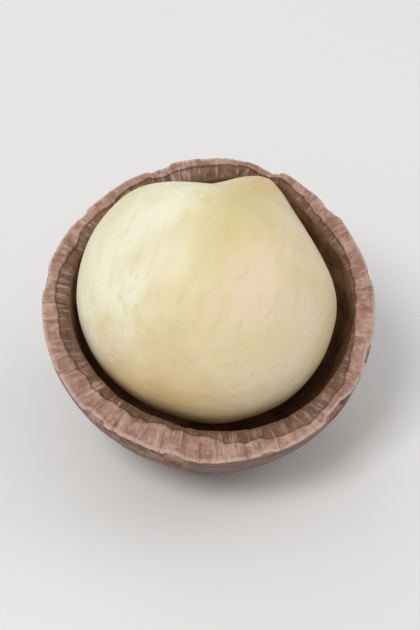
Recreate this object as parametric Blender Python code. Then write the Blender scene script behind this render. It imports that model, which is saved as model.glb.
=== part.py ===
"""An opened macadamia nut: one half of its woody shell, with the whole kernel lying loose in it.

The nut's own frame has its origin at the nut's centre. The shell has broken near the plane z = 0 of that
frame, which holds the nut's long axis, and it opens towards +Z. The long axis runs from the scar, where the
nut hung on its stalk, to the small raised tip. An empty leans the nut towards -Y and stands it on the small
flat spot under it, whose centre is the origin of the world.
"""

import math

import bmesh
import bpy
from mathutils import Matrix, Vector, noise

MM = 0.001

# The shell, from outside to outside across its long axis
SHELL_DIAMETER = 25.1 * MM
LONG_AXIS_SHORTENING = 0.02
TIP_HEIGHT = 0.40 * MM
TIP_SPREAD = math.radians(13)
SCAR_DEPTH = 0.20 * MM
SCAR_SPREAD = math.radians(19)
SCAR_LIP_HEIGHT = 0.07 * MM
SCAR_LIP_ANGLE = math.radians(24)
SCAR_LIP_SPREAD = math.radians(6)
SEAM_HEIGHT = 0.14 * MM
SEAM_WIDTH = 0.55 * MM
SEAM_START = 0.35
SHELL_LUMP_HEIGHT = 0.16 * MM
SHELL_LUMPS_PER_RADIUS = 1.6

# Where the tip and the seam lie in the nut's own frame
TIP_TURN = math.radians(-24)
TIP_WAY = Vector((-math.sin(TIP_TURN), math.cos(TIP_TURN), 0))
SEAM_TURN = math.radians(-52)
SEAM_WAY = Matrix.Rotation(SEAM_TURN, 3, TIP_WAY) @ Vector((0, 0, -1))

# The kernel, a ball drawn out to a blunt cone at the tip
KERNEL_RADIUS = 10.0 * MM
KERNEL_BASE_SHORTENING = 1.25 * MM
CONE_HEIGHT = 11.55 * MM
CONE_HALF_ANGLE = math.radians(54)
CONE_POINT_BLUNTING = math.radians(2.5)
CONE_START = math.radians(12)
CONE_END = math.radians(34)
CONE_LIMIT = math.radians(100)
SHOULDER_SOFTNESS = 0.30 * MM
DIMPLE_DEPTH = 1.0 * MM
DIMPLE_SPREAD = math.radians(10.5)
DIMPLE_OFF_TIP = math.radians(26)
DIMPLE_ROUND_TIP = math.radians(40)
DIMPLE_PLAIN_WAY = Vector((-math.sin(DIMPLE_OFF_TIP), 0, math.cos(DIMPLE_OFF_TIP)))
DIMPLE_WAY = Matrix.Rotation(DIMPLE_ROUND_TIP, 3, "Z") @ DIMPLE_PLAIN_WAY
KERNEL_LUMP_HEIGHT = 0.14 * MM
KERNEL_LUMPS_PER_RADIUS = 1.7
GROOVE_DEPTH = 0.20 * MM
GROOVE_WIDTH = 1.1 * MM
GROOVE_FADE = math.radians(75)

# The hollow for the kernel, a little wider and with a lower, rounder cone, and how the kernel lies in it
CAVITY_GAP = 0.88 * MM
CAVITY_CONE_HEIGHT = 11.15 * MM
CAVITY_CONE_HALF_ANGLE = math.radians(62)
KERNEL_SHIFT = Vector((-0.36 * MM, 0.36 * MM, -0.20 * MM))
KERNEL_TURN = math.radians(-2.5)
KERNEL_LIFT = math.radians(8)
KERNEL_ROLL = math.radians(3)

# The broken rim: slow waves (height, waves in a turn, start) and single features (height, place, width)
RIM_WAVES = (
    (0.16 * MM, 2, 0.6),
    (0.11 * MM, 3, 2.1),
    (0.07 * MM, 5, 0.4),
    (0.05 * MM, 9, 1.3),
    (0.04 * MM, 17, 2.7),
)
TIP_PLACE = math.radians(90) + TIP_TURN
SCAR_PLACE = TIP_PLACE + math.pi
RIM_FEATURES = (
    (-0.60 * MM, TIP_PLACE + math.radians(3), math.radians(4)),
    (0.42 * MM, TIP_PLACE + math.radians(24), math.radians(19)),
    (0.40 * MM, TIP_PLACE - math.radians(15), math.radians(14)),
    (0.28 * MM, TIP_PLACE - math.radians(32), math.radians(9)),
    (-0.48 * MM, math.radians(-42), math.radians(6)),
    (-0.28 * MM, math.radians(-24), math.radians(4)),
    (0.24 * MM, SCAR_PLACE + math.radians(6), math.radians(8)),
    (-0.30 * MM, SCAR_PLACE - math.radians(19), math.radians(4)),
)
RIM_SLOPE = 0.25 * MM
RIM_CROWN = 0.16 * MM
RIM_GRAIN = 0.12 * MM
RIM_GRAINS_PER_METRE = 900

# How the nut stands
LEAN = math.radians(22)
REST_SPOT_RADIUS = 3.1 * MM

# Fineness of the solids
CUP_STEPS = 104
OUTSIDE_ROWS = 17
RIM_ROWS = 3
INSIDE_ROWS = 12
KERNEL_SUBDIVISIONS = 5
MERGE_DISTANCE = 0.02 * MM
CUT_TOLERANCE = 0.001 * MM
SMOOTH_BELOW = math.radians(40)

PLAIN_OUTER = SHELL_DIAMETER / 2
PLAIN_INNER = KERNEL_RADIUS + CAVITY_GAP
QUARTER_TURN = math.pi / 2

SHELL_COLOUR = (0.150, 0.048, 0.020, 1)
SHELL_ROUGHNESS = 0.42
KERNEL_COLOUR = (0.760, 0.640, 0.360, 1)
KERNEL_ROUGHNESS = 0.38


def clear_scene():
    for obj in list(bpy.data.objects):
        bpy.data.objects.remove(obj, do_unlink=True)


def bell(distance, spread):
    """1 at distance 0, falling smoothly to nothing within about two spreads."""
    return math.exp(-((distance / spread) ** 2))


def smooth_step(low, high, value):
    share = min(1.0, max(0.0, (value - low) / (high - low)))
    return share * share * (3 - 2 * share)


def angle_between(a, b):
    """The angle between two directions of unit length."""
    return math.acos(max(-1.0, min(1.0, a.dot(b))))


def way(azimuth, depth):
    """A direction from the nut's centre: round the opening by azimuth, and below its plane by depth."""
    level = Vector((math.cos(azimuth), math.sin(azimuth), 0))
    return level * math.cos(depth) - Vector((0, 0, math.sin(depth)))


def shell_radius(direction):
    """Distance from the nut's centre to the outside of the shell."""
    from_tip = angle_between(direction, TIP_WAY)
    from_scar = math.pi - from_tip
    radius = PLAIN_OUTER * (1 - LONG_AXIS_SHORTENING * math.cos(from_tip) ** 2)
    radius += TIP_HEIGHT * bell(from_tip, TIP_SPREAD)
    radius -= SCAR_DEPTH * bell(from_scar, SCAR_SPREAD)
    radius += SCAR_LIP_HEIGHT * bell(from_scar - SCAR_LIP_ANGLE, SCAR_LIP_SPREAD)
    off_seam = direction.dot(TIP_WAY.cross(SEAM_WAY)) * PLAIN_OUTER
    seam_share = smooth_step(0.0, SEAM_START, direction.dot(SEAM_WAY))
    radius += SEAM_HEIGHT * bell(off_seam, SEAM_WIDTH) * seam_share
    return radius + SHELL_LUMP_HEIGHT * noise.noise(direction * SHELL_LUMPS_PER_RADIUS)


def pear_profile(from_tip, cone_height, cone_half_angle):
    """Distance from the kernel's centre to a plain kernel's surface, by the angle from its tip.

    The cone stands out of the ball at its point, and cuts a flat shoulder off it further down. The base,
    away from the tip, is a little flattened.
    """
    base_share = (1 - math.cos(from_tip)) / 2
    ball = KERNEL_RADIUS - KERNEL_BASE_SHORTENING * base_share**3
    if from_tip > CONE_LIMIT:
        return ball
    blunted = math.hypot(from_tip, CONE_POINT_BLUNTING)
    cone = cone_height * math.sin(cone_half_angle) / math.sin(cone_half_angle + blunted)
    excess = (cone - ball) / SHOULDER_SOFTNESS
    trimmed = SHOULDER_SOFTNESS * (max(excess, 0) + math.log1p(math.exp(-abs(excess))))
    return cone - trimmed * smooth_step(CONE_START, CONE_END, from_tip)


def kernel_radius(direction):
    """Distance from the kernel's centre to its surface, in its own frame, where its tip is +Z."""
    from_tip = angle_between(direction, Vector((0, 0, 1)))
    radius = pear_profile(from_tip, CONE_HEIGHT, CONE_HALF_ANGLE)
    radius -= DIMPLE_DEPTH * bell(angle_between(direction, DIMPLE_WAY), DIMPLE_SPREAD)
    off_groove = direction.x * KERNEL_RADIUS
    radius -= GROOVE_DEPTH * bell(off_groove, GROOVE_WIDTH) * bell(from_tip, GROOVE_FADE)
    return radius + KERNEL_LUMP_HEIGHT * noise.noise(direction * KERNEL_LUMPS_PER_RADIUS)


def cavity_radius(direction):
    """Distance from the nut's centre to the inside of the shell, which grew round the kernel."""
    from_tip = angle_between(direction, TIP_WAY)
    return pear_profile(from_tip, CAVITY_CONE_HEIGHT, CAVITY_CONE_HALF_ANGLE) + CAVITY_GAP


def rim_height(azimuth):
    """How far the break stands above the plane z = 0."""
    height = 0.0
    for size, waves, start in RIM_WAVES:
        height += size * math.sin(waves * azimuth + start)
    for size, place, width in RIM_FEATURES:
        height += size * bell(math.remainder(azimuth - place, math.tau), width)
    return height


def edge_point(azimuth, radius_along, height):
    """The point of a shell surface at a height above the plane z = 0."""
    level_radius = radius_along(way(azimuth, 0))
    direction = way(azimuth, -math.asin(height / level_radius))
    return direction * radius_along(direction)


def outer_edge(azimuth):
    return edge_point(azimuth, shell_radius, rim_height(azimuth))


def inner_edge(azimuth):
    return edge_point(azimuth, cavity_radius, rim_height(azimuth) - RIM_SLOPE)


def rim_point(azimuth, share):
    """A point of the broken face, from the outer edge at share 0 to the inner edge at share 1."""
    point = outer_edge(azimuth).lerp(inner_edge(azimuth), share)
    crown = RIM_CROWN + RIM_GRAIN * noise.noise(point * RIM_GRAINS_PER_METRE)
    point.z += crown * 4 * share * (1 - share)
    return point


def wall_point(azimuth, edge, share, radius_along):
    """A point of a shell surface, from its edge at share 0 to the bottom of the cup at share 1."""
    start = -math.asin(edge.z / edge.length)
    direction = way(azimuth, start + share * (QUARTER_TURN - start))
    return direction * radius_along(direction)


def spun_cup():
    """A plain round cup, spun from its outline: up the outside, across the rim and down the inside."""
    bm = bmesh.new()
    outline = []
    for row in range(OUTSIDE_ROWS + 1):
        outline.append(way(0, QUARTER_TURN * (1 - row / OUTSIDE_ROWS)) * PLAIN_OUTER)
    for row in range(1, RIM_ROWS):
        outline.append(outline[OUTSIDE_ROWS].lerp(Vector((PLAIN_INNER, 0, 0)), row / RIM_ROWS))
    for row in range(INSIDE_ROWS + 1):
        outline.append(way(0, QUARTER_TURN * row / INSIDE_ROWS) * PLAIN_INNER)
    verts = [bm.verts.new(point) for point in outline]
    edges = [bm.edges.new(pair) for pair in zip(verts, verts[1:])]
    bmesh.ops.spin(
        bm,
        geom=verts + edges,
        cent=(0, 0, 0),
        axis=(0, 0, 1),
        angle=math.tau,
        steps=CUP_STEPS,
        use_merge=True,
    )
    bmesh.ops.remove_doubles(bm, verts=bm.verts, dist=MERGE_DISTANCE)
    return bm


def grow_shell(bm):
    """Moves each point of the plain cup onto the real shell's outside, broken face or inside."""
    for vert in bm.verts:
        azimuth = math.atan2(vert.co.y, vert.co.x)
        radius = vert.co.length
        share = math.asin(max(-1.0, min(1.0, -vert.co.z / radius))) / QUARTER_TURN
        if share * PLAIN_OUTER < MERGE_DISTANCE:
            vert.co = rim_point(azimuth, (PLAIN_OUTER - radius) / (PLAIN_OUTER - PLAIN_INNER))
        elif radius > (PLAIN_OUTER + PLAIN_INNER) / 2:
            vert.co = wall_point(azimuth, outer_edge(azimuth), share, shell_radius)
        else:
            vert.co = wall_point(azimuth, inner_edge(azimuth), share, cavity_radius)


def cut_rest_spot(bm):
    """Cuts the small flat under the leaning nut, and returns its centre in the nut's own frame."""
    down = Matrix.Rotation(-LEAN, 3, "X") @ Vector((0, 0, -1))
    lowest = max(vert.co.dot(down) for vert in bm.verts)
    cut = bmesh.ops.bisect_plane(
        bm,
        geom=bm.verts[:] + bm.edges[:] + bm.faces[:],
        dist=CUT_TOLERANCE,
        plane_co=down * math.sqrt(lowest**2 - REST_SPOT_RADIUS**2),
        plane_no=down,
        clear_outer=True,
    )
    outline = [item for item in cut["geom_cut"] if isinstance(item, bmesh.types.BMEdge)]
    bmesh.ops.edgeloop_fill(bm, edges=outline)
    corners = {vert for edge in outline for vert in edge.verts}
    return sum((vert.co for vert in corners), Vector()) / len(corners)


def material(name, colour, roughness):
    made = bpy.data.materials.new(name)
    made.use_nodes = True
    shader = made.node_tree.nodes["Principled BSDF"]
    shader.inputs["Base Color"].default_value = colour
    shader.inputs["Roughness"].default_value = roughness
    shader.inputs["Metallic"].default_value = 0.0
    return made


def object_of(bm, name, finish, parent):
    """Turns a bmesh into a named, smooth object under the parent empty."""
    bmesh.ops.recalc_face_normals(bm, faces=bm.faces)
    mesh = bpy.data.meshes.new(name)
    bm.to_mesh(mesh)
    bm.free()
    mesh.materials.append(finish)
    mesh.shade_smooth()
    mesh.set_sharp_from_angle(angle=SMOOTH_BELOW)
    obj = bpy.data.objects.new(name, mesh)
    obj.parent = parent
    bpy.context.scene.collection.objects.link(obj)
    return obj


def make_shell(parent):
    """The broken half of the shell. Returns the centre of its rest spot, in the nut's own frame."""
    bm = spun_cup()
    grow_shell(bm)
    rest_centre = cut_rest_spot(bm)
    object_of(bm, "shell", material("shell", SHELL_COLOUR, SHELL_ROUGHNESS), parent)
    return rest_centre


def make_kernel(parent):
    """The whole kernel, with the shallow groove between its two seed halves, laid in the shell."""
    bm = bmesh.new()
    bmesh.ops.create_icosphere(bm, subdivisions=KERNEL_SUBDIVISIONS, radius=1)
    for vert in bm.verts:
        direction = vert.co.normalized()
        vert.co = direction * kernel_radius(direction)
    finish = material("kernel", KERNEL_COLOUR, KERNEL_ROUGHNESS)
    kernel = object_of(bm, "kernel", finish, parent)
    lay_down = Matrix.Rotation(KERNEL_LIFT - QUARTER_TURN, 4, "X")
    roll = Matrix.Rotation(KERNEL_ROLL, 4, "Z")
    turn = Matrix.Rotation(TIP_TURN + KERNEL_TURN, 4, "Z")
    kernel.rotation_euler = (turn @ lay_down @ roll).to_euler()
    kernel.location = KERNEL_SHIFT


def main():
    clear_scene()
    nut = bpy.data.objects.new("nut", None)
    bpy.context.scene.collection.objects.link(nut)
    rest_centre = make_shell(nut)
    make_kernel(nut)
    nut.rotation_euler = (LEAN, 0, 0)
    nut.location = -(Matrix.Rotation(LEAN, 3, "X") @ rest_centre)
    bpy.context.view_layer.update()


if __name__ == "__main__":
    main()
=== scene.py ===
"""The looks of an opened macadamia nut: its broken half shell and the whole kernel in it.

The shell and the kernel are modelled again here, finer, from the same named sizes as the solids that they
stand for. Each is shaped in a frame of its own and then put in its place in the world. Patterns are set in
millimetres: a noise of scale 2 has about two waves in a millimetre.
"""

import math
from functools import cache

import bmesh
import bpy
from mathutils import Matrix, Vector, noise


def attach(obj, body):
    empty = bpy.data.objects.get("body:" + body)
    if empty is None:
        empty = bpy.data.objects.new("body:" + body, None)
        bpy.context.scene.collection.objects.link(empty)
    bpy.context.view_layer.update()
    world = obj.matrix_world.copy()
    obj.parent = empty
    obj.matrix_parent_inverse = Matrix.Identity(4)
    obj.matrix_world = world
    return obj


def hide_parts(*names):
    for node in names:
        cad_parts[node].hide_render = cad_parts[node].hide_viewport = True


MM = 0.001
QUARTER_TURN = math.pi / 2

# The shell as a whole
PLAIN_OUTER = 12.55 * MM
LONG_AXIS_SHORTENING = 0.02
TIP_HEIGHT = 0.40 * MM
TIP_SPREAD = math.radians(13)
SCAR_DEPTH = 0.20 * MM
SCAR_SPREAD = math.radians(19)
SCAR_LIP_HEIGHT = 0.07 * MM
SCAR_LIP_ANGLE = math.radians(24)
SCAR_LIP_SPREAD = math.radians(6)
SEAM_HEIGHT = 0.14 * MM
SEAM_WIDTH = 0.55 * MM
SEAM_START = 0.35
SHELL_LUMP_HEIGHT = 0.16 * MM
SHELL_LUMPS_PER_RADIUS = 1.6

# Where the tip and the seam lie in the nut's own frame
TIP_TURN = math.radians(-24)
TIP_WAY = Vector((-math.sin(TIP_TURN), math.cos(TIP_TURN), 0))
SEAM_TURN = math.radians(-52)
SEAM_WAY = Matrix.Rotation(SEAM_TURN, 3, TIP_WAY) @ Vector((0, 0, -1))

# The kernel as a whole
KERNEL_RADIUS = 10.0 * MM
KERNEL_BASE_SHORTENING = 1.25 * MM
CONE_HEIGHT = 11.55 * MM
CONE_HALF_ANGLE = math.radians(54)
CONE_POINT_BLUNTING = math.radians(2.5)
CONE_START = math.radians(12)
CONE_END = math.radians(34)
CONE_LIMIT = math.radians(100)
SHOULDER_SOFTNESS = 0.30 * MM
DIMPLE_DEPTH = 1.0 * MM
DIMPLE_SPREAD = math.radians(10.5)
DIMPLE_OFF_TIP = math.radians(26)
DIMPLE_ROUND_TIP = math.radians(40)
DIMPLE_PLAIN_WAY = Vector((-math.sin(DIMPLE_OFF_TIP), 0, math.cos(DIMPLE_OFF_TIP)))
DIMPLE_WAY = Matrix.Rotation(DIMPLE_ROUND_TIP, 3, "Z") @ DIMPLE_PLAIN_WAY
KERNEL_LUMP_HEIGHT = 0.14 * MM
KERNEL_LUMPS_PER_RADIUS = 1.7
GROOVE_DEPTH = 0.20 * MM
GROOVE_WIDTH = 1.1 * MM
GROOVE_FADE = math.radians(75)

# The hollow for the kernel, how the kernel lies in it, and how the shell lies in the world
CAVITY_GAP = 0.88 * MM
CAVITY_CONE_HEIGHT = 11.15 * MM
CAVITY_CONE_HALF_ANGLE = math.radians(62)
PLAIN_INNER = KERNEL_RADIUS + CAVITY_GAP
KERNEL_SHIFT = Vector((-0.36 * MM, 0.36 * MM, -0.20 * MM))
KERNEL_TURN = math.radians(-2.5)
KERNEL_LIFT = math.radians(8)
KERNEL_ROLL = math.radians(3)
LEAN = math.radians(22)
NUT_CENTRE = Vector((-0.062 * MM, -0.672 * MM, 12.236 * MM))
NUT_TO_WORLD = Matrix.Translation(NUT_CENTRE) @ Matrix.Rotation(LEAN, 4, "X")
DOWN = Matrix.Rotation(-LEAN, 3, "X") @ Vector((0, 0, -1))

# The broken rim: slow waves (height, waves in a turn, start) and single features (height, place, width)
RIM_WAVES = (
    (0.16 * MM, 2, 0.6),
    (0.11 * MM, 3, 2.1),
    (0.07 * MM, 5, 0.4),
    (0.05 * MM, 9, 1.3),
    (0.04 * MM, 17, 2.7),
)
TIP_PLACE = math.radians(90) + TIP_TURN
SCAR_PLACE = TIP_PLACE + math.pi
RIM_FEATURES = (
    (-0.60 * MM, TIP_PLACE + math.radians(3), math.radians(4)),
    (0.42 * MM, TIP_PLACE + math.radians(24), math.radians(19)),
    (0.40 * MM, TIP_PLACE - math.radians(15), math.radians(14)),
    (0.28 * MM, TIP_PLACE - math.radians(32), math.radians(9)),
    (-0.48 * MM, math.radians(-42), math.radians(6)),
    (-0.28 * MM, math.radians(-24), math.radians(4)),
    (0.24 * MM, SCAR_PLACE + math.radians(6), math.radians(8)),
    (-0.30 * MM, SCAR_PLACE - math.radians(19), math.radians(4)),
)
RIM_SLOPE = 0.25 * MM
RIM_CROWN = 0.16 * MM

# The break close to: a ledge between its pale outer layer and its brown inner one. The ledge lies at a
# share of the wall's thickness, moved by waves and by single features (share, place, width).
LEDGE_HEIGHT = 0.16 * MM
LEDGE_PLACE = 0.50
LEDGE_WANDER = 0.20
LEDGE_WAVES_PER_MM = 0.28
LEDGE_RAGGEDNESS = 0.10
LEDGE_RAGS_PER_MM = 1.3
LEDGE_SLANT = 0.15
LEDGE_WIDTH = 0.05
LEDGE_FEATURES = (
    (0.26, SCAR_PLACE, math.radians(38)),
    (0.34, 0.0, math.radians(30)),
    (-0.16, math.radians(-52), math.radians(20)),
    (-0.12, math.radians(100), math.radians(30)),
)

# A thin slab left standing at the inner edge of the break, widest at its middle
SLAB_PLACE = math.radians(-87)
SLAB_HALF_LENGTH = math.radians(13)
SLAB_HEIGHT = 0.15 * MM
SLAB_EDGE = 0.56

# Lumps, radial fibres and grain on the break, and its worn outer edge, where the skin is gone as well. The
# fibres stand out most near the scar.
BREAK_LUMP_HEIGHT = 0.13 * MM
BREAK_LUMPS_PER_MM = 0.8
BREAK_FIBRE_HEIGHT = 0.08 * MM
BREAK_FIBRES_PER_MM = 2.4
BREAK_FIBRE_STRETCH = 5
BREAK_FIBRE_SHARPNESS = 3
BREAK_FIBRE_LEAST_SHARE = 0.35
BREAK_FIBRE_SPREAD = math.radians(50)
BREAK_GRAIN_HEIGHT = 0.08 * MM
BREAK_GRAINS_PER_MM = 2.8
EDGE_WEAR_DEPTH = 0.06 * MM
EDGE_WEAR_SHARE = 0.05
EDGE_BARE_WIDTH = 0.16 * MM
EDGE_FULLY_BARE_SHARE = 0.3
EDGE_RAGS_PER_MM = 1.4

# Flakes chipped off the outer edge: how far round (degrees), radius and depth
FLAKES = (
    (66, 0.55 * MM, 0.22 * MM),
    (41, 0.95 * MM, 0.20 * MM),
    (12, 0.55 * MM, 0.14 * MM),
    (-18, 0.75 * MM, 0.20 * MM),
    (-41, 1.25 * MM, 0.34 * MM),
    (-70, 0.60 * MM, 0.14 * MM),
    (-103, 0.85 * MM, 0.20 * MM),
    (-133, 1.05 * MM, 0.26 * MM),
    (170, 0.70 * MM, 0.18 * MM),
    (141, 0.50 * MM, 0.14 * MM),
    (108, 0.90 * MM, 0.20 * MM),
)
FLAKE_RAGGEDNESS = 0.5
FLAKE_RAGS_PER_MM = 1.6
FLAKE_BARE_DEPTH = 0.05 * MM

# The skin: pebbles, finer dents and streaks along the nut, gone round the flat spot
SKIN_PEBBLE_HEIGHT = 0.05 * MM
SKIN_PEBBLES_PER_MM = 0.55
SKIN_DENT_HEIGHT = 0.018 * MM
SKIN_DENTS_PER_MM = 1.7
SKIN_STREAK_HEIGHT = 0.022 * MM
SKIN_STREAKS_PER_MM = 1.1
STREAK_SHORTENING = 0.2
SCAR_ROUGHNESS_HEIGHT = 0.12 * MM
SCAR_GRAINS_PER_MM = 1.5
SCAR_INSIDE = math.radians(15)
SCAR_OUTSIDE = math.radians(23)
SCAR_RAGGEDNESS = math.radians(4)
SCAR_RAGS_PER_MM = 0.7
REST_SPOT_RADIUS = 3.1 * MM
REST_FADE_END = 5.2 * MM

# The kernel's skin
KERNEL_SWELL_HEIGHT = 0.045 * MM
KERNEL_SWELLS_PER_MM = 0.33
KERNEL_DENT_HEIGHT = 0.018 * MM
KERNEL_DENTS_PER_MM = 0.9
KERNEL_CREASE_DEPTH = 0.05 * MM
KERNEL_CREASE_WIDTH = 0.16 * MM
KERNEL_CREASE_WANDER = 0.25 * MM
KERNEL_CREASE_WAVES_PER_MM = 0.5
GROOVE_TINT_WIDTH = 2 * GROOVE_WIDTH
GROOVE_TINT_FADE = 1.6 * GROOVE_FADE

# Fineness
CUP_STEPS = 560
OUTSIDE_ROWS = 80
RIM_ROWS = 26
INSIDE_ROWS = 44
ROW_CROWDING = 1.35
KERNEL_SUBDIVISIONS = 7
AZIMUTH_DIGITS = 5
MERGE_DISTANCE = 0.001 * MM
SMOOTH_BELOW = math.radians(60)

# Colours, linear
SKIN_DARK = (0.062, 0.018, 0.011, 1)
SKIN_MAROON = (0.165, 0.045, 0.024, 1)
SKIN_ORANGE = (0.300, 0.098, 0.032, 1)
SKIN_FLECK = (0.400, 0.205, 0.115, 1)
SCAR_TAN = (0.380, 0.230, 0.140, 1)
# Pale colour of the break's light threads, also used as a painted highlight along its outer edge
BREAK_LIGHT_THREAD_AND_HIGHLIGHT = (0.620, 0.430, 0.355, 1)
BREAK_PALE = (0.475, 0.290, 0.225, 1)
BREAK_PINK = (0.300, 0.152, 0.110, 1)
BREAK_TAN = (0.225, 0.115, 0.068, 1)
BREAK_BROWN = (0.120, 0.058, 0.032, 1)
BREAK_DARK = (0.050, 0.022, 0.013, 1)
LINING_BROWN = (0.190, 0.088, 0.046, 1)
LINING_TAN = (0.400, 0.235, 0.130, 1)
# Ivory of the kernel, made lighter as a painted highlight on the half where it is used
KERNEL_IVORY_AND_HIGHLIGHT = (0.870, 0.835, 0.640, 1)
KERNEL_CREAM = (0.790, 0.680, 0.420, 1)
KERNEL_BLUSH = (0.840, 0.690, 0.490, 1)
KERNEL_YELLOW = (0.690, 0.570, 0.240, 1)
KERNEL_GOLD = (0.640, 0.440, 0.190, 1)
KERNEL_TIP = (0.700, 0.440, 0.250, 1)
KERNEL_SPECK = (0.420, 0.240, 0.100, 1)
FLOOR_WHITE = (0.800, 0.795, 0.785, 1)

# Lights: name, azimuth and elevation (degrees), distance and size (metres), and power (watts)
LIGHTS = (
    ("key", -40, 58, 0.50, 0.18, 1.12),
    ("side", 105, 35, 0.55, 0.30, 0.35),
    ("back", 200, 30, 0.60, 0.35, 0.35),
)
WORLD_STRENGTH = 0.55

# Floor and camera
FLOOR_HALF_WIDTH = 1.5
CAMERA_ELEVATION = math.radians(44)
CAMERA_LENS = 100
CAMERA_DISTANCE = 133 * MM
CAMERA_AIM = Vector((0, 0.2 * MM, 10.5 * MM))


def bell(distance, spread):
    """1 at distance 0, falling smoothly to nothing within about two spreads."""
    return math.exp(-((distance / spread) ** 2))


def smooth_step(low, high, value):
    share = min(1.0, max(0.0, (value - low) / (high - low)))
    return share * share * (3 - 2 * share)


def angle_between(a, b):
    """The angle between two directions of unit length."""
    return math.acos(max(-1.0, min(1.0, a.dot(b))))


def way(azimuth, depth):
    """A direction from the nut's centre: round the opening by azimuth, and below its plane by depth."""
    level = Vector((math.cos(azimuth), math.sin(azimuth), 0))
    return level * math.cos(depth) - Vector((0, 0, math.sin(depth)))


def waviness(place, per_mm, seed=0.0):
    """Smooth noise between about -1 and 1 at a place in metres, with so many waves in a millimetre."""
    return noise.noise(place * (per_mm / MM) + Vector((seed, -seed, seed)))


def round_place(azimuth, share=0.0):
    """A place that runs round the break and, along Z, slowly across it, for fibres that point outwards."""
    radius = (PLAIN_OUTER + PLAIN_INNER) / 2
    wall = PLAIN_OUTER - PLAIN_INNER
    across = share * wall / BREAK_FIBRE_STRETCH
    return Vector((radius * math.cos(azimuth), radius * math.sin(azimuth), across))


def streak_place(direction):
    """A place that changes fast round the long axis and slowly along it, for streaks from scar to tip."""
    along = direction.dot(TIP_WAY)
    off_axis = direction - along * TIP_WAY
    if off_axis.length > 0:
        off_axis.normalize()
    along_nut = STREAK_SHORTENING * math.acos(max(-1.0, min(1.0, along)))
    return (off_axis + along_nut * TIP_WAY) * PLAIN_OUTER


def shell_radius(direction):
    """Distance from the nut's centre to the outside of the shell, without its fine relief."""
    from_tip = angle_between(direction, TIP_WAY)
    from_scar = math.pi - from_tip
    radius = PLAIN_OUTER * (1 - LONG_AXIS_SHORTENING * math.cos(from_tip) ** 2)
    radius += TIP_HEIGHT * bell(from_tip, TIP_SPREAD)
    radius -= SCAR_DEPTH * bell(from_scar, SCAR_SPREAD)
    radius += SCAR_LIP_HEIGHT * bell(from_scar - SCAR_LIP_ANGLE, SCAR_LIP_SPREAD)
    off_seam = direction.dot(TIP_WAY.cross(SEAM_WAY)) * PLAIN_OUTER
    seam_share = smooth_step(0.0, SEAM_START, direction.dot(SEAM_WAY))
    radius += SEAM_HEIGHT * bell(off_seam, SEAM_WIDTH) * seam_share
    return radius + SHELL_LUMP_HEIGHT * noise.noise(direction * SHELL_LUMPS_PER_RADIUS)


def rim_height(azimuth):
    """How far the break stands above the plane z = 0."""
    height = 0.0
    for size, waves, start in RIM_WAVES:
        height += size * math.sin(waves * azimuth + start)
    for size, place, width in RIM_FEATURES:
        height += size * bell(math.remainder(azimuth - place, math.tau), width)
    return height


def flake_centres():
    """Where each flake broke off: its centre on the outer edge, its radius and its depth."""
    made = []
    for degrees, radius, depth in FLAKES:
        azimuth = math.radians(degrees)
        level = way(azimuth, 0) * shell_radius(way(azimuth, 0))
        made.append((level + Vector((0, 0, rim_height(azimuth))), radius, depth))
    return made


FLAKE_CENTRES = flake_centres()


def flake_depth(place):
    """How much the flakes take off the outside at a place, in the nut's own frame."""
    deepest = 0.0
    for centre, radius, depth in FLAKE_CENTRES:
        offset = place - centre
        if offset.length_squared > 4 * radius**2:
            continue
        ragged = radius * (1 + FLAKE_RAGGEDNESS * waviness(place, FLAKE_RAGS_PER_MM))
        share = 1 - (offset.length / ragged) ** 2
        deepest = max(deepest, depth * min(1.0, 2 * share))
    return deepest


def scar_share(direction):
    """1 inside the scar, 0 well outside it, with a ragged border."""
    from_scar = math.pi - angle_between(direction, TIP_WAY)
    ragged = SCAR_RAGGEDNESS * waviness(direction * PLAIN_OUTER, SCAR_RAGS_PER_MM, seed=3.0)
    return 1 - smooth_step(SCAR_INSIDE, SCAR_OUTSIDE, from_scar + ragged)


def rest_fade(direction):
    """0 over the flat spot, 1 clear of it."""
    off_spot = math.sin(min(QUARTER_TURN, angle_between(direction, DOWN))) * PLAIN_OUTER
    return smooth_step(REST_SPOT_RADIUS, REST_FADE_END, off_spot)


def skin_radius(direction):
    """Distance from the nut's centre to the outside of the shell, with its fine relief."""
    plain = shell_radius(direction)
    place = direction * plain
    relief = SKIN_PEBBLE_HEIGHT * waviness(place, SKIN_PEBBLES_PER_MM)
    relief += SKIN_DENT_HEIGHT * waviness(place, SKIN_DENTS_PER_MM, seed=5.0)
    relief += SKIN_STREAK_HEIGHT * waviness(streak_place(direction), SKIN_STREAKS_PER_MM, seed=9.0)
    scar_grain = SCAR_ROUGHNESS_HEIGHT * waviness(place, SCAR_GRAINS_PER_MM, seed=2.0)
    relief += scar_share(direction) * scar_grain
    return plain + relief * rest_fade(direction) - flake_depth(place)


def pear_profile(from_tip, cone_height, cone_half_angle):
    """Distance from the kernel's centre to a plain kernel's surface, by the angle from its tip.

    The cone stands out of the ball at its point, and cuts a flat shoulder off it further down. The base,
    away from the tip, is a little flattened.
    """
    base_share = (1 - math.cos(from_tip)) / 2
    ball = KERNEL_RADIUS - KERNEL_BASE_SHORTENING * base_share**3
    if from_tip > CONE_LIMIT:
        return ball
    blunted = math.hypot(from_tip, CONE_POINT_BLUNTING)
    cone = cone_height * math.sin(cone_half_angle) / math.sin(cone_half_angle + blunted)
    excess = (cone - ball) / SHOULDER_SOFTNESS
    trimmed = SHOULDER_SOFTNESS * (max(excess, 0) + math.log1p(math.exp(-abs(excess))))
    return cone - trimmed * smooth_step(CONE_START, CONE_END, from_tip)


def cavity_radius(direction):
    """Distance from the nut's centre to the inside of the shell, with faint swellings."""
    from_tip = angle_between(direction, TIP_WAY)
    plain = pear_profile(from_tip, CAVITY_CONE_HEIGHT, CAVITY_CONE_HALF_ANGLE) + CAVITY_GAP
    return plain + SKIN_DENT_HEIGHT * waviness(direction * plain, SKIN_PEBBLES_PER_MM, seed=4.0)


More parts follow.
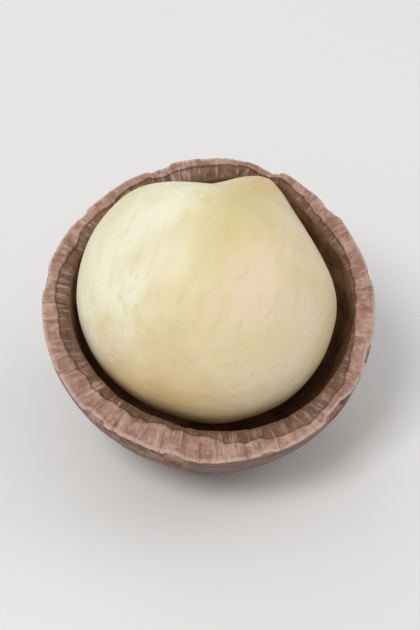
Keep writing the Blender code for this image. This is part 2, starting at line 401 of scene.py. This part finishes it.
def past_ledge(azimuth, share):
    """How far inside the ledge a place on the break lies, as a share of the wall's thickness."""
    around = round_place(azimuth)
    slanted = around * (1 - LEDGE_SLANT * share)
    ledge = LEDGE_PLACE + LEDGE_WANDER * waviness(around, LEDGE_WAVES_PER_MM, seed=1.0)
    ledge += LEDGE_RAGGEDNESS * waviness(slanted, LEDGE_RAGS_PER_MM, seed=5.0)
    for size, place, width in LEDGE_FEATURES:
        ledge += size * bell(math.remainder(azimuth - place, math.tau), width)
    return share - ledge


def break_relief(azimuth, share):
    """How far the broken face stands above its plain slope at one place."""
    around = round_place(azimuth)
    place = around * (1 - share * (1 - PLAIN_INNER / PLAIN_OUTER))
    fibre = waviness(round_place(azimuth, share), BREAK_FIBRES_PER_MM, seed=2.0)
    fibres = BREAK_FIBRE_HEIGHT * (1 - BREAK_FIBRE_SHARPNESS * abs(fibre))
    near_scar = bell(math.remainder(azimuth - SCAR_PLACE, math.tau), BREAK_FIBRE_SPREAD)
    ledge = LEDGE_HEIGHT * (1 + waviness(around, LEDGE_WAVES_PER_MM, seed=6.0))
    off_slab = math.remainder(azimuth - SLAB_PLACE, math.tau) / SLAB_HALF_LENGTH
    slab_edge = SLAB_EDGE + (1 - SLAB_EDGE) * off_slab**2
    relief = RIM_CROWN * 4 * share * (1 - share)
    relief -= ledge * smooth_step(0, LEDGE_WIDTH, past_ledge(azimuth, share))
    relief += SLAB_HEIGHT * smooth_step(0, LEDGE_WIDTH, share - slab_edge)
    relief += BREAK_LUMP_HEIGHT * waviness(place, BREAK_LUMPS_PER_MM, seed=8.0)
    relief += fibres * (BREAK_FIBRE_LEAST_SHARE + (1 - BREAK_FIBRE_LEAST_SHARE) * near_scar)
    relief += BREAK_GRAIN_HEIGHT * waviness(place, BREAK_GRAINS_PER_MM, seed=4.0)
    relief -= EDGE_WEAR_DEPTH * max(0.0, 1 - share / EDGE_WEAR_SHARE)
    return relief


def edge_point(azimuth, radius_along, height):
    """The point of a shell surface at a height above the plane z = 0."""
    level_radius = radius_along(way(azimuth, 0))
    direction = way(azimuth, -math.asin(height / level_radius))
    return direction * radius_along(direction)


@cache
def rim_point(azimuth, share):
    """A point of the broken face, from the outer edge at share 0 to the inner edge at share 1."""
    outer = edge_point(azimuth, skin_radius, rim_height(azimuth))
    inner = edge_point(azimuth, cavity_radius, rim_height(azimuth) - RIM_SLOPE)
    point = outer.lerp(inner, share)
    point.z += break_relief(azimuth, share)
    return point


def wall_point(azimuth, edge, share, radius_along):
    """A point of a shell surface, from its edge at share 0 to the bottom of the cup at share 1."""
    start = -math.asin(edge.z / edge.length)
    direction = way(azimuth, start + share * (QUARTER_TURN - start))
    return direction * radius_along(direction)


def spun_cup():
    """A plain round cup, spun from its outline: up the outside, across the rim and down the inside.

    Its rows crowd towards the two edges of the break. The faces get the slots of skin, break and lining.
    """
    bm = bmesh.new()
    outline = []
    for row in range(OUTSIDE_ROWS + 1):
        share = (1 - row / OUTSIDE_ROWS) ** ROW_CROWDING
        outline.append(way(0, QUARTER_TURN * share) * PLAIN_OUTER)
    for row in range(1, RIM_ROWS):
        even = row / RIM_ROWS
        share = (even + (1 - math.cos(math.pi * even)) / 2) / 2
        outline.append(Vector((PLAIN_OUTER + (PLAIN_INNER - PLAIN_OUTER) * share, 0, 0)))
    for row in range(INSIDE_ROWS + 1):
        share = (row / INSIDE_ROWS) ** ROW_CROWDING
        outline.append(way(0, QUARTER_TURN * share) * PLAIN_INNER)
    verts = [bm.verts.new(point) for point in outline]
    edges = [bm.edges.new(pair) for pair in zip(verts, verts[1:])]
    bmesh.ops.spin(
        bm,
        geom=verts + edges,
        cent=(0, 0, 0),
        axis=(0, 0, 1),
        angle=math.tau,
        steps=CUP_STEPS,
        use_merge=True,
    )
    bmesh.ops.remove_doubles(bm, verts=bm.verts, dist=MERGE_DISTANCE)
    bmesh.ops.recalc_face_normals(bm, faces=bm.faces)
    for face in bm.faces:
        place = face.calc_center_median()
        if all(abs(vert.co.z) < MERGE_DISTANCE for vert in face.verts):
            face.material_index = 1
        elif place.length < (PLAIN_OUTER + PLAIN_INNER) / 2:
            face.material_index = 2
    return bm


def bare_share(place, below_edge):
    """1 where the outside is bare wood, worn at its edge or chipped, and 0 where it has its skin."""
    ragged = EDGE_BARE_WIDTH * (1 + waviness(place, EDGE_RAGS_PER_MM, seed=7.0))
    worn = 1 - smooth_step(EDGE_FULLY_BARE_SHARE * ragged, ragged, below_edge)
    return max(worn, smooth_step(0.0, FLAKE_BARE_DEPTH, flake_depth(place)))


def grow_shell(bm):
    """Moves the plain cup's points onto the real shell, and notes what its finishes need at each.

    The azimuth is rounded, so that a whole column of points asks for the same two points of the rim.
    """
    across_layer = bm.verts.layers.float.new("across")
    inside_layer = bm.verts.layers.float.new("past_ledge")
    bare_layer = bm.verts.layers.float.new("bare")
    scar_layer = bm.verts.layers.float.new("scar")
    fibre_layer = bm.verts.layers.float_vector.new("fibre_place")
    streak_layer = bm.verts.layers.float_vector.new("streak_place")
    for vert in bm.verts:
        azimuth = round(math.atan2(vert.co.y, vert.co.x), AZIMUTH_DIGITS)
        radius = vert.co.length
        depth_share = math.asin(max(-1.0, min(1.0, -vert.co.z / radius))) / QUARTER_TURN
        across = (PLAIN_OUTER - radius) / (PLAIN_OUTER - PLAIN_INNER)
        if depth_share * PLAIN_OUTER < MERGE_DISTANCE:
            vert.co = rim_point(azimuth, across)
        elif across < 0.5:
            vert.co = wall_point(azimuth, rim_point(azimuth, 0), depth_share, skin_radius)
            vert[bare_layer] = bare_share(vert.co, depth_share * QUARTER_TURN * PLAIN_OUTER)
        else:
            vert.co = wall_point(azimuth, rim_point(azimuth, 1), depth_share, cavity_radius)
        direction = vert.co.normalized()
        vert[across_layer] = across
        vert[inside_layer] = past_ledge(azimuth, across)
        vert[scar_layer] = scar_share(direction)
        vert[fibre_layer] = round_place(azimuth, across) / MM
        vert[streak_layer] = streak_place(direction) / MM


def cut_rest_spot(bm):
    """Cuts the small flat spot under the nut, at the level of the ground."""
    cut = bmesh.ops.bisect_plane(
        bm,
        geom=bm.verts[:] + bm.edges[:] + bm.faces[:],
        dist=MERGE_DISTANCE,
        plane_co=(0, 0, 0),
        plane_no=(0, 0, -1),
        clear_outer=True,
    )
    outline = [item for item in cut["geom_cut"] if isinstance(item, bmesh.types.BMEdge)]
    bmesh.ops.edgeloop_fill(bm, edges=outline)


def object_of(bm, name, finishes):
    """Turns a bmesh in world places into a named, smooth object with its finishes."""
    mesh = bpy.data.meshes.new(name)
    bm.to_mesh(mesh)
    bm.free()
    for finish in finishes:
        mesh.materials.append(finish)
    mesh.shade_smooth()
    mesh.set_sharp_from_angle(angle=SMOOTH_BELOW)
    obj = bpy.data.objects.new(name, mesh)
    bpy.context.scene.collection.objects.link(obj)
    return obj


def make_shell(finishes):
    bm = spun_cup()
    grow_shell(bm)
    bm.transform(NUT_TO_WORLD)
    cut_rest_spot(bm)
    return object_of(bm, "half_shell", finishes)


def kernel_radius(direction):
    """Distance from the kernel's centre to its surface, in its own frame, where its tip is +Z."""
    from_tip = angle_between(direction, Vector((0, 0, 1)))
    radius = pear_profile(from_tip, CONE_HEIGHT, CONE_HALF_ANGLE)
    radius -= DIMPLE_DEPTH * bell(angle_between(direction, DIMPLE_WAY), DIMPLE_SPREAD)
    off_groove = direction.x * KERNEL_RADIUS
    groove_share = bell(from_tip, GROOVE_FADE)
    radius -= GROOVE_DEPTH * bell(off_groove, GROOVE_WIDTH) * groove_share
    radius += KERNEL_LUMP_HEIGHT * noise.noise(direction * KERNEL_LUMPS_PER_RADIUS)
    place = direction * radius
    wander = KERNEL_CREASE_WANDER * waviness(place, KERNEL_CREASE_WAVES_PER_MM, seed=2.0)
    radius -= KERNEL_CREASE_DEPTH * bell(off_groove + wander, KERNEL_CREASE_WIDTH) * groove_share
    radius += KERNEL_SWELL_HEIGHT * waviness(place, KERNEL_SWELLS_PER_MM, seed=1.0)
    return radius + KERNEL_DENT_HEIGHT * waviness(place, KERNEL_DENTS_PER_MM, seed=3.0)


def make_kernel(finish):
    """The kernel, shaped round its own tip along +Z and then laid in the shell."""
    bm = bmesh.new()
    bmesh.ops.create_icosphere(bm, subdivisions=KERNEL_SUBDIVISIONS, radius=1)
    base_layer = bm.verts.layers.float.new("towards_base")
    groove_layer = bm.verts.layers.float.new("groove")
    place_layer = bm.verts.layers.float_vector.new("own_place")
    for vert in bm.verts:
        direction = vert.co.normalized()
        from_tip = angle_between(direction, Vector((0, 0, 1)))
        vert.co = direction * kernel_radius(direction)
        vert[base_layer] = from_tip / math.pi
        vert[groove_layer] = bell(vert.co.x, GROOVE_TINT_WIDTH) * bell(from_tip, GROOVE_TINT_FADE)
        vert[place_layer] = vert.co / MM
    lay_down = Matrix.Rotation(KERNEL_LIFT - QUARTER_TURN, 4, "X")
    roll = Matrix.Rotation(KERNEL_ROLL, 4, "Z")
    turn = Matrix.Rotation(TIP_TURN + KERNEL_TURN, 4, "Z")
    bm.transform(NUT_TO_WORLD @ Matrix.Translation(KERNEL_SHIFT) @ turn @ lay_down @ roll)
    return object_of(bm, "whole_kernel", [finish])


def set_inputs(made, inputs):
    """Fills a node's inputs, by name or number, with plain values or with links from other nodes."""
    tree = made.id_data
    for key, value in inputs.items():
        socket = made.inputs[key]
        if isinstance(value, bpy.types.NodeSocket):
            tree.links.new(value, socket)
        else:
            socket.default_value = value


def add(tree, kind, inputs=None, **settings):
    """Adds a shader node of a kind, with its settings and inputs."""
    made = tree.nodes.new("ShaderNode" + kind)
    for key, value in settings.items():
        setattr(made, key, value)
    set_inputs(made, inputs or {})
    return made


def noise_of(tree, vector, scale, detail=2.0, roughness=0.5, distortion=0.0):
    inputs = {
        "Vector": vector,
        "Scale": scale,
        "Detail": detail,
        "Roughness": roughness,
        "Distortion": distortion,
    }
    return add(tree, "TexNoise", inputs).outputs["Fac"]


def spread(tree, value, low, high, to_low=0.0, to_high=1.0):
    """Maps a value from one range onto another, held at the ends."""
    inputs = {"Value": value, "From Min": low, "From Max": high, "To Min": to_low, "To Max": to_high}
    return add(tree, "MapRange", inputs, interpolation_type="SMOOTHSTEP").outputs["Result"]


def blend(tree, share, first, second):
    """Mixes two colours: the first at share 0, the second at share 1."""
    made = add(tree, "Mix", data_type="RGBA")
    set_inputs(made, {0: share, 6: first, 7: second})
    return made.outputs[2]


def calculate(tree, operation, first, second=0.0):
    return add(tree, "Math", {0: first, 1: second}, operation=operation).outputs[0]


def attribute(tree, name, output="Fac"):
    return add(tree, "Attribute", attribute_name=name).outputs[output]


def millimetres(tree):
    """The surface's own place, in millimetres."""
    place = add(tree, "TexCoord").outputs["Object"]
    return add(tree, "VectorMath", {0: place, "Scale": 1 / MM}, operation="SCALE").outputs[0]


def new_group(name, inputs, outputs):
    """An empty node group with named sockets. Returns it with its input node and its output node."""
    group = bpy.data.node_groups.new(name, "ShaderNodeTree")
    for socket, kind in inputs.items():
        group.interface.new_socket(socket, in_out="INPUT", socket_type="NodeSocket" + kind)
    for socket, kind in outputs.items():
        group.interface.new_socket(socket, in_out="OUTPUT", socket_type="NodeSocket" + kind)
    return group, group.nodes.new("NodeGroupInput"), group.nodes.new("NodeGroupOutput")


def mottle_group():
    """Two colours in soft uneven patches, with a second finer layer of patches inside the first."""
    inputs = {"Place": "Vector", "Patches per mm": "Float", "First": "Color", "Second": "Color"}
    group, given, out = new_group("mottle", inputs, {"Colour": "Color"})
    coarse = noise_of(group, given.outputs["Place"], given.outputs["Patches per mm"], 3.0, 0.55, 0.4)
    finer_scale = calculate(group, "MULTIPLY", given.outputs["Patches per mm"], 4.3)
    fine = noise_of(group, given.outputs["Place"], finer_scale, 2.0, 0.6)
    total = calculate(group, "ADD", coarse, calculate(group, "MULTIPLY", fine, 0.35))
    share = spread(group, total, 0.52, 0.84)
    set_inputs(out, {"Colour": blend(group, share, given.outputs["First"], given.outputs["Second"])})
    return group


def fleck_group():
    """Small scattered marks: round or, with a stretched place, long. Only some of the cells have one."""
    inputs = {"Place": "Vector", "Cells per mm": "Float", "Size": "Float", "Share of cells": "Float"}
    group, given, out = new_group("flecks", inputs, {"Mask": "Float"})
    cells = add(group, "TexVoronoi", {"Vector": given.outputs["Place"], "Randomness": 1.0})
    group.links.new(given.outputs["Cells per mm"], cells.inputs["Scale"])
    near = spread(group, cells.outputs["Distance"], given.outputs["Size"], 0.0)
    drawn = add(group, "SeparateColor", {0: cells.outputs["Color"]}).outputs[0]
    chosen = calculate(group, "LESS_THAN", drawn, given.outputs["Share of cells"])
    set_inputs(out, {"Mask": calculate(group, "MULTIPLY", near, chosen)})
    return group


def grain_group():
    """A height for bump: coarse and fine noise added together."""
    inputs = {"Place": "Vector", "Coarse per mm": "Float", "Fine per mm": "Float", "Fine share": "Float"}
    group, given, out = new_group("grain", inputs, {"Height": "Float"})
    coarse = noise_of(group, given.outputs["Place"], given.outputs["Coarse per mm"], 2.0)
    fine = noise_of(group, given.outputs["Place"], given.outputs["Fine per mm"], 3.0, 0.6)
    weighted = calculate(group, "MULTIPLY", fine, given.outputs["Fine share"])
    set_inputs(out, {"Height": calculate(group, "ADD", coarse, weighted)})
    return group


def grouped(tree, group, inputs, output):
    """Places a node group with its own values, and returns one of its outputs."""
    made = add(tree, "Group", node_tree=group)
    set_inputs(made, inputs)
    return made.outputs[output]


def patchy(tree, groups, place, per_mm, first, second):
    """Two colours in soft uneven patches."""
    inputs = {"Place": place, "Patches per mm": per_mm, "First": first, "Second": second}
    return grouped(tree, groups["mottle"], inputs, "Colour")


def flecked(tree, groups, base, place, per_mm, size, cells, strength, colour):
    """A base colour with small marks of another in a share of the cells."""
    inputs = {"Place": place, "Cells per mm": per_mm, "Size": size, "Share of cells": cells}
    mask = grouped(tree, groups["flecks"], inputs, "Mask")
    return blend(tree, calculate(tree, "MULTIPLY", mask, strength), base, colour)


def grainy(tree, groups, place, coarse, fine, fine_share):
    """A height for bump, with so many coarse and fine grains in a millimetre."""
    inputs = {"Place": place, "Coarse per mm": coarse, "Fine per mm": fine, "Fine share": fine_share}
    return grouped(tree, groups["grain"], inputs, "Height")


def new_finish(name):
    """A material with an empty Principled BSDF. Returns the material, its tree and the shader."""
    finish = bpy.data.materials.new(name)
    finish.use_nodes = True
    return finish, finish.node_tree, finish.node_tree.nodes["Principled BSDF"]


def bump(tree, height, distance, strength=1.0):
    inputs = {"Height": height, "Distance": distance, "Strength": strength}
    return add(tree, "Bump", inputs).outputs["Normal"]


def skin_finish(groups):
    """The outside: hard and half glossy, red-brown, with streaks along the nut, warm patches and flecks."""
    finish, tree, shader = new_finish("nut_skin")
    place = millimetres(tree)
    streak = attribute(tree, "streak_place", "Vector")
    base = patchy(tree, groups, place, 0.5, SKIN_DARK, SKIN_MAROON)
    warm = spread(tree, noise_of(tree, place, 0.16, 3.0, 0.6, 0.5), 0.46, 0.74, 0.0, 0.8)
    base = blend(tree, warm, base, SKIN_ORANGE)
    streaks = spread(tree, noise_of(tree, streak, 0.75, 4.0, 0.65), 0.46, 0.66, 0.0, 0.7)
    base = blend(tree, streaks, base, SKIN_DARK)
    light_streaks = spread(tree, noise_of(tree, streak, 1.3, 3.0, 0.6, 0.3), 0.58, 0.78, 0.0, 0.5)
    base = blend(tree, light_streaks, base, SKIN_FLECK)
    fine_marks = spread(tree, noise_of(tree, place, 3.5, 4.0, 0.7), 0.50, 0.72, 0.0, 0.55)
    base = blend(tree, fine_marks, base, SKIN_DARK)
    base = flecked(tree, groups, base, streak, 1.0, 0.26, 0.20, 0.6, SKIN_FLECK)
    base = flecked(tree, groups, base, place, 1.7, 0.24, 0.26, 0.75, SKIN_FLECK)
    scar = attribute(tree, "scar")
    scar_colour = patchy(tree, groups, place, 1.3, BREAK_BROWN, SCAR_TAN)
    base = blend(tree, calculate(tree, "MULTIPLY", scar, 0.85), base, scar_colour)
    bare = attribute(tree, "bare")
    base = blend(tree, bare, base, patchy(tree, groups, place, 1.6, BREAK_PINK, BREAK_PALE))
    gloss = spread(tree, noise_of(tree, streak, 0.9, 3.0, 0.6), 0.3, 0.7, 0.24, 0.44)
    dull_places = calculate(tree, "MAXIMUM", scar, bare)
    roughness = add(tree, "Mix", {0: dull_places, 2: gloss, 3: 0.75}, data_type="FLOAT").outputs[0]
    grain = grainy(tree, groups, place, 1.8, 6.0, 0.4)
    height = calculate(tree, "ADD", grain, grainy(tree, groups, streak, 2.2, 6.0, 0.5))
    inputs = {
        "Base Color": base,
        "Roughness": roughness,
        "Specular IOR Level": 0.35,
        "Normal": bump(tree, height, 0.05 * MM),
        "Coat Weight": 0.15,
        "Coat Roughness": 0.24,
    }
    set_inputs(shader, inputs)
    return finish


def break_finish(groups):
    """The broken face: dry, pale outside its ledge and brown inside, with fibres and pores; painted
    highlight on its outer edge, painted shadow along its ledge.
    """
    finish, tree, shader = new_finish("broken_wood")
    place = millimetres(tree)
    fibre = attribute(tree, "fibre_place", "Vector")
    across = attribute(tree, "across")
    inside = attribute(tree, "past_ledge")
    outer = patchy(tree, groups, place, 0.9, BREAK_PINK, BREAK_PALE)
    inner = patchy(tree, groups, place, 1.1, BREAK_BROWN, BREAK_TAN)
    base = blend(tree, spread(tree, inside, -0.05, 0.07), outer, inner)
    # Painted highlight: the break is lightened towards a pale colour along its outer edge
    painted_edge_highlight = spread(tree, across, 0.16, 0.03, 0.0, 0.75)
    base = blend(tree, painted_edge_highlight, base, BREAK_LIGHT_THREAD_AND_HIGHLIGHT)
    light_threads = spread(tree, noise_of(tree, fibre, 2.9, 3.0, 0.65, 0.6), 0.50, 0.72, 0.0, 0.60)
    base = blend(tree, light_threads, base, BREAK_LIGHT_THREAD_AND_HIGHLIGHT)
    threads = spread(tree, noise_of(tree, fibre, 2.6, 4.0, 0.7, 0.5), 0.48, 0.70, 0.0, 0.6)
    base = blend(tree, threads, base, BREAK_BROWN)
    base = flecked(tree, groups, base, place, 2.6, 0.28, 0.30, 0.75, BREAK_DARK)
    dark_inside = spread(tree, across, 0.80, 1.0, 0.0, 0.7)
    base = blend(tree, dark_inside, base, BREAK_BROWN)
    # Painted shadow: a dark line along the step of the ledge, where its shade falls
    ledge_shadow_distance = calculate(tree, "ABSOLUTE", calculate(tree, "SUBTRACT", inside, 0.03))
    painted_ledge_shadow = spread(tree, ledge_shadow_distance, 0.045, 0.0, 0.0, 0.6)
    base = blend(tree, painted_ledge_shadow, base, BREAK_DARK)
    grain = grainy(tree, groups, place, 2.5, 9.0, 0.5)
    height = calculate(tree, "ADD", grain, grainy(tree, groups, fibre, 4.0, 9.0, 0.4))
    inputs = {"Base Color": base, "Roughness": 0.72, "Normal": bump(tree, height, 0.06 * MM)}
    set_inputs(shader, inputs)
    return finish


def lining_finish(groups):
    """The inside of the shell: smooth, brown and faintly glossy."""
    finish, tree, shader = new_finish("shell_lining")
    place = millimetres(tree)
    height = grainy(tree, groups, place, 0.9, 4.0, 0.4)
    inputs = {
        "Base Color": patchy(tree, groups, place, 0.4, LINING_BROWN, LINING_TAN),
        "Roughness": 0.34,
        "Coat Weight": 0.2,
        "Coat Roughness": 0.25,
        "Normal": bump(tree, height, 0.03 * MM),
    }
    set_inputs(shader, inputs)
    return finish


def kernel_finish(groups):
    """The kernel: waxy, ivory on one half, lightened there as a painted highlight, and pinker on the other,
    with veins that run along it.

    It is yellow in its groove, golden at its base and tan at its tip.
    """
    finish, tree, shader = new_finish("kernel_flesh")
    place = attribute(tree, "own_place", "Vector")
    along = add(tree, "VectorMath", {0: place, 1: (1, 1, 0.22)}, operation="MULTIPLY").outputs[0]
    cloudy = noise_of(tree, place, 0.11, 2.0, 0.45, 0.4)
    # Ivory on the half at negative X, lightened there as a painted highlight, and pinker on the other half
    off_groove = add(tree, "SeparateXYZ", {0: place}).outputs["X"]
    half_share = spread(tree, calculate(tree, "ADD", off_groove, cloudy), -2.5, 3.5)
    ivory_highlight_and_blush_halves = blend(tree, half_share, KERNEL_IVORY_AND_HIGHLIGHT, KERNEL_BLUSH)
    base = blend(tree, spread(tree, cloudy, 0.30, 0.54), KERNEL_CREAM, ivory_highlight_and_blush_halves)
    yellow = spread(tree, noise_of(tree, place, 0.15, 2.0, 0.5, 0.4), 0.48, 0.72, 0.0, 0.45)
    base = blend(tree, yellow, base, KERNEL_YELLOW)
    base = blend(tree, attribute(tree, "groove"), base, KERNEL_YELLOW)
    towards_base = attribute(tree, "towards_base")
    wobble = spread(tree, noise_of(tree, place, 0.22, 3.0, 0.55), 0.3, 0.7, -0.07, 0.07)
    shifted = calculate(tree, "ADD", towards_base, wobble)
    base = blend(tree, spread(tree, shifted, 0.62, 0.98, 0.0, 0.95), base, KERNEL_GOLD)
    base = blend(tree, spread(tree, shifted, 0.16, 0.02, 0.0, 0.75), base, KERNEL_TIP)
    veins = spread(tree, noise_of(tree, along, 1.3, 3.0, 0.6, 0.3), 0.48, 0.72, 0.0, 0.42)
    base = blend(tree, veins, base, KERNEL_YELLOW)
    speckled = spread(tree, shifted, 0.42, 0.72, 0.10, 0.55)
    base = flecked(tree, groups, base, place, 1.5, 0.24, 0.30, speckled, KERNEL_SPECK)
    height = grainy(tree, groups, along, 1.2, 4.5, 0.45)
    gloss = spread(tree, noise_of(tree, place, 0.8, 3.0, 0.6), 0.3, 0.7, 0.44, 0.62)
    inputs = {
        "Base Color": base,
        "Roughness": gloss,
        "Normal": bump(tree, height, 0.05 * MM),
        "Coat Weight": 0.15,
        "Coat Roughness": 0.38,
        "Subsurface Weight": 0.3,
        "Subsurface Radius": (1.0, 0.62, 0.30),
        "Subsurface Scale": 0.9 * MM,
    }
    set_inputs(shader, inputs)
    return finish


def make_floor():
    """A plain pale floor."""
    bm = bmesh.new()
    bmesh.ops.create_grid(bm, x_segments=1, y_segments=1, size=FLOOR_HALF_WIDTH)
    finish, _, shader = new_finish("floor")
    set_inputs(shader, {"Base Color": FLOOR_WHITE, "Roughness": 0.9})
    object_of(bm, "floor", [finish])


def make_light(name, azimuth, elevation, distance, size, watts):
    """A soft square light aimed at the nut. Azimuth 0 is on the camera's side, 90 to its right."""
    around = math.radians(azimuth)
    up = math.radians(elevation)
    back = Vector((math.sin(around) * math.cos(up), -math.cos(around) * math.cos(up), math.sin(up)))
    data = bpy.data.lights.new(name, "AREA")
    data.size = size
    data.energy = watts
    light = bpy.data.objects.new(name, data)
    light.location = CAMERA_AIM + back * distance
    light.rotation_euler = back.to_track_quat("Z", "Y").to_euler()
    bpy.context.scene.collection.objects.link(light)


def make_world():
    world = bpy.data.worlds.new("studio")
    world.use_nodes = True
    background = world.node_tree.nodes["Background"]
    set_inputs(background, {"Color": (1, 1, 1, 1), "Strength": WORLD_STRENGTH})
    bpy.context.scene.world = world


def make_camera():
    data = bpy.data.cameras.new("camera")
    data.lens = CAMERA_LENS
    data.clip_start = 1 * MM
    data.clip_end = 10
    back = Vector((0, -math.cos(CAMERA_ELEVATION), math.sin(CAMERA_ELEVATION)))
    camera = bpy.data.objects.new("camera", data)
    camera.location = CAMERA_AIM + back * CAMERA_DISTANCE
    camera.rotation_euler = back.to_track_quat("Z", "Y").to_euler()
    bpy.context.scene.collection.objects.link(camera)
    bpy.context.scene.camera = camera


def make_stage():
    make_floor()
    for light in LIGHTS:
        make_light(*light)
    make_world()
    make_camera()
    bpy.context.scene.view_settings.view_transform = "Standard"


def dress(piece, node):
    """Lets a piece stand for a solid of the nut: hangs it under the root and hides that solid."""
    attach(piece, "root")
    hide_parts(node)


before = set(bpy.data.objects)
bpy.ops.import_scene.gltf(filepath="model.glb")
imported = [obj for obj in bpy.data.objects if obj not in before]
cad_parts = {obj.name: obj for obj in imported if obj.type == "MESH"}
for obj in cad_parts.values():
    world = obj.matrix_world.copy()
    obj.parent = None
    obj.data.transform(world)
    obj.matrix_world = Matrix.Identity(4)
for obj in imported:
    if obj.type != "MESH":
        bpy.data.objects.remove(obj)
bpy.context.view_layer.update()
GROUPS = {"mottle": mottle_group(), "flecks": fleck_group(), "grain": grain_group()}
dress(make_shell([skin_finish(GROUPS), break_finish(GROUPS), lining_finish(GROUPS)]), "shell")
dress(make_kernel(kernel_finish(GROUPS)), "kernel")
make_stage()
